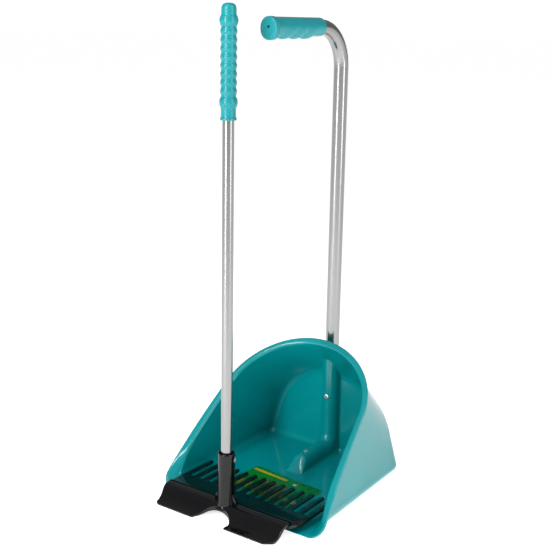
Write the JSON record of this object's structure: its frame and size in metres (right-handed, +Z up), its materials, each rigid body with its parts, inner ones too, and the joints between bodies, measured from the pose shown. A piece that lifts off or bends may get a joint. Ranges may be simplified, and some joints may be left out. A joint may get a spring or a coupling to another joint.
{
  "type": "long-handled scoop and rake set",
  "caption": "Deep arched scoop pan on a bent upright handle, with a separate long-handled rake that has tines on one side and a scraper blade on the other.",
  "frame": {"origin": "on the floor, under the middle of the set's box", "axes": "+Z up along the handles, -Y out of the pan's mouth towards the user's sweep, +X to the right seen from the mouth"},
  "size_m": [0.2883, 0.319, 0.7185],
  "materials": {
    "pan_plastic": "gloss teal moulding",
    "grip_plastic": "satin teal moulding",
    "black_plastic": "gloss black moulding",
    "tube_aluminium": "satin drawn tube",
    "rivet_metal": "bright",
    "rivet_pin_steel": "dull pulled pin",
    "label_film": "printed film"
  },
  "bodies": {
    "scoop": {"scoop_pan": "pan_plastic", "scoop_tube": "tube_aluminium", "scoop_grip": "grip_plastic", "foot_plug": "black_plastic", "upper_rivet": "rivet_metal", "upper_rivet_pin": "rivet_pin_steel", "lower_rivet": "rivet_metal", "lower_rivet_pin": "rivet_pin_steel", "pan_label": "label_film"},
    "rake": {"rake_head": "black_plastic", "rake_tube": "tube_aluminium", "rake_grip": "grip_plastic", "rake_rivet": "rivet_metal", "rake_rivet_pin": "rivet_pin_steel"}
  },
  "joints": [
    {"name": "rake_draw", "type": "slide", "parent": "scoop", "child": "rake", "axis": [0, -1, 0], "range_m": [0, 0.14]}
  ]
}
